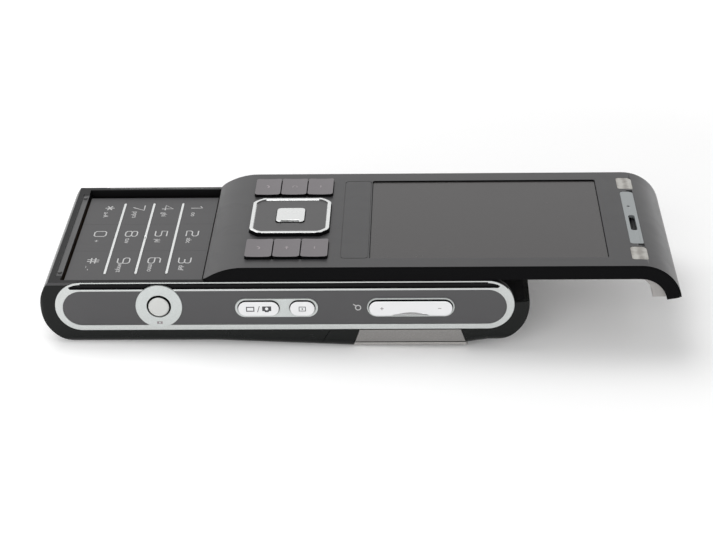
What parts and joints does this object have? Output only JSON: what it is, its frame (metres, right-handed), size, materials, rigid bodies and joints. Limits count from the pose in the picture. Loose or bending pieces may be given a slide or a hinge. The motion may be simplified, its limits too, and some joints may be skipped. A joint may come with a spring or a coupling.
{
  "type": "slider phone",
  "caption": "Slider phone standing open: a front with screen and keys slides over a base with a number keypad, side camera keys and a covered lens at the back.",
  "frame": {"origin": "middle of the open phone's box, on the plane of the camera bump's face", "axes": "+X towards the earpiece end, -Y towards the side with the camera keys, +Z out of the screen"},
  "size_m": [0.1359, 0.0496, 0.0202],
  "materials": {
    "front_shell": "satin dark grey, finely speckled",
    "black_gloss": "moulded black, polished",
    "casing": "moulded near black, fine texture",
    "light_liner": "light grey paint",
    "silver_trim": "bright satin",
    "side_grey": "satin dark grey",
    "camera_grey": "satin paint",
    "side_key_silver": "silver paint under lacquer",
    "keypad_key": "dark grey, smooth, with light marks",
    "function_key": "warm grey, slightly dished",
    "navigation_key": "silver grey with a bright edge",
    "select_silver": "polished",
    "display_glass": "clear window over a dark screen",
    "display_black": "display stack",
    "sensor_plastic": "milky light windows",
    "steel": "stamped sheet",
    "board_green": "solder mask",
    "flex_amber": "polyimide dome sheet",
    "battery_label": "blank wrap",
    "optics_black": "matt black",
    "lens_glass": "coated",
    "flash_white": "ribbed diffuser",
    "contact_gold": "plated"
  },
  "bodies": {
    "base": {"main_housing": "casing", "rear_frame": "casing", "camera_housing": "casing", "camera_bezel": "camera_grey", "side_trims": "silver_trim", "side_panels": "side_grey", "shutter_ring": "silver_trim", "key_bezel": "silver_trim", "zoom_bezel": "silver_trim", "keypad_strips": "silver_trim", "keypad_board": "flex_amber", "main_board": "board_green", "battery": "battery_label", "camera_module": "optics_black", "lens_glass": "lens_glass", "flash_unit": "flash_white", "guide_plate": "steel", "loudspeaker": "casing", "vibration_motor": "steel", "microphone": "contact_gold", "side_connector": "optics_black", "case_screws": "steel"},
    "slider": {"front_plate": "front_shell", "slider_frame": "black_gloss", "slider_back_cover": "light_liner", "slide_plate": "steel", "display_window": "display_glass", "display_module": "display_black", "ear_speaker": "casing", "ear_grille": "silver_trim", "sensor_windows": "sensor_plastic", "slider_board": "board_green"},
    "battery_cover": {"battery_cover": "casing"},
    "lens_cover": {"lens_cover": "camera_grey"},
    "zoom_rocker": {"zoom_rocker": "side_key_silver"},
    "key_1": {"key_1": "keypad_key"},
    "key_2": {"key_2": "keypad_key"},
    "key_3": {"key_3": "keypad_key"},
    "key_4": {"key_4": "keypad_key"},
    "key_5": {"key_5": "keypad_key"},
    "key_6": {"key_6": "keypad_key"},
    "key_7": {"key_7": "keypad_key"},
    "key_8": {"key_8": "keypad_key"},
    "key_9": {"key_9": "keypad_key"},
    "key_star": {"key_star": "keypad_key"},
    "key_0": {"key_0": "keypad_key"},
    "key_hash": {"key_hash": "keypad_key"},
    "nav_key": {"nav_key": "navigation_key"},
    "select_key": {"select_key": "select_silver"},
    "soft_key_right": {"soft_key_right": "function_key"},
    "soft_key_left": {"soft_key_left": "function_key"},
    "back_key": {"back_key": "function_key"},
    "clear_key": {"clear_key": "function_key"},
    "end_key": {"end_key": "function_key"},
    "call_key": {"call_key": "function_key"},
    "shutter_button": {"shutter_button": "side_key_silver"},
    "mode_key": {"mode_key": "side_key_silver"},
    "playback_key": {"playback_key": "side_key_silver"}
  },
  "joints": [
    {"name": "slider_slide", "type": "slide", "parent": "base", "child": "slider", "axis": [1, 0, 0], "range_m": [-0.032, 0]},
    {"name": "battery_cover_slide", "type": "slide", "parent": "base", "child": "battery_cover", "axis": [-1, 0, 0], "range_m": [0, 0.004]},
    {"name": "lens_cover_slide", "type": "slide", "parent": "base", "child": "lens_cover", "axis": [-1, 0, 0], "range_m": [0, 0.0104]},
    {"name": "zoom_rocker_tilt", "type": "hinge", "parent": "base", "child": "zoom_rocker", "pos_m": [0.01085, -0.02272, 0.00983], "axis": [0, 0, 1], "range_deg": [-1.8, 1.8], "stiffness_Nm_per_rad": 0.02},
    {"name": "key_1_press", "type": "slide", "parent": "base", "child": "key_1", "axis": [0, 0, -1], "range_m": [0, 0.0002], "stiffness_N_per_m": 300},
    {"name": "key_2_press", "type": "slide", "parent": "base", "child": "key_2", "axis": [0, 0, -1], "range_m": [0, 0.0002], "stiffness_N_per_m": 300},
    {"name": "key_3_press", "type": "slide", "parent": "base", "child": "key_3", "axis": [0, 0, -1], "range_m": [0, 0.0002], "stiffness_N_per_m": 300},
    {"name": "key_4_press", "type": "slide", "parent": "base", "child": "key_4", "axis": [0, 0, -1], "range_m": [0, 0.0002], "stiffness_N_per_m": 300},
    {"name": "key_5_press", "type": "slide", "parent": "base", "child": "key_5", "axis": [0, 0, -1], "range_m": [0, 0.0002], "stiffness_N_per_m": 300},
    {"name": "key_6_press", "type": "slide", "parent": "base", "child": "key_6", "axis": [0, 0, -1], "range_m": [0, 0.0002], "stiffness_N_per_m": 300},
    {"name": "key_7_press", "type": "slide", "parent": "base", "child": "key_7", "axis": [0, 0, -1], "range_m": [0, 0.0002], "stiffness_N_per_m": 300},
    {"name": "key_8_press", "type": "slide", "parent": "base", "child": "key_8", "axis": [0, 0, -1], "range_m": [0, 0.0002], "stiffness_N_per_m": 300},
    {"name": "key_9_press", "type": "slide", "parent": "base", "child": "key_9", "axis": [0, 0, -1], "range_m": [0, 0.0002], "stiffness_N_per_m": 300},
    {"name": "key_star_press", "type": "slide", "parent": "base", "child": "key_star", "axis": [0, 0, -1], "range_m": [0, 0.0002], "stiffness_N_per_m": 300},
    {"name": "key_0_press", "type": "slide", "parent": "base", "child": "key_0", "axis": [0, 0, -1], "range_m": [0, 0.0002], "stiffness_N_per_m": 300},
    {"name": "key_hash_press", "type": "slide", "parent": "base", "child": "key_hash", "axis": [0, 0, -1], "range_m": [0, 0.0002], "stiffness_N_per_m": 300},
    {"name": "nav_key_press", "type": "slide", "parent": "slider", "child": "nav_key", "axis": [0, 0, -1], "range_m": [0, 0.0002], "stiffness_N_per_m": 300},
    {"name": "select_key_press", "type": "slide", "parent": "slider", "child": "select_key", "axis": [0, 0, -1], "range_m": [0, 0.0002], "stiffness_N_per_m": 300},
    {"name": "soft_key_right_press", "type": "slide", "parent": "slider", "child": "soft_key_right", "axis": [0, 0, -1], "range_m": [0, 0.0002], "stiffness_N_per_m": 300},
    {"name": "soft_key_left_press", "type": "slide", "parent": "slider", "child": "soft_key_left", "axis": [0, 0, -1], "range_m": [0, 0.0002], "stiffness_N_per_m": 300},
    {"name": "back_key_press", "type": "slide", "parent": "slider", "child": "back_key", "axis": [0, 0, -1], "range_m": [0, 0.0002], "stiffness_N_per_m": 300},
    {"name": "clear_key_press", "type": "slide", "parent": "slider", "child": "clear_key", "axis": [0, 0, -1], "range_m": [0, 0.0002], "stiffness_N_per_m": 300},
    {"name": "end_key_press", "type": "slide", "parent": "slider", "child": "end_key", "axis": [0, 0, -1], "range_m": [0, 0.0002], "stiffness_N_per_m": 300},
    {"name": "call_key_press", "type": "slide", "parent": "slider", "child": "call_key", "axis": [0, 0, -1], "range_m": [0, 0.0002], "stiffness_N_per_m": 300},
    {"name": "shutter_button_press", "type": "slide", "parent": "base", "child": "shutter_button", "axis": [0, 1, 0], "range_m": [0, 0.00045], "stiffness_N_per_m": 300},
    {"name": "mode_key_press", "type": "slide", "parent": "base", "child": "mode_key", "axis": [0, 1, 0], "range_m": [0, 0.0003], "stiffness_N_per_m": 300},
    {"name": "playback_key_press", "type": "slide", "parent": "base", "child": "playback_key", "axis": [0, 1, 0], "range_m": [0, 0.0003], "stiffness_N_per_m": 300}
  ]
}
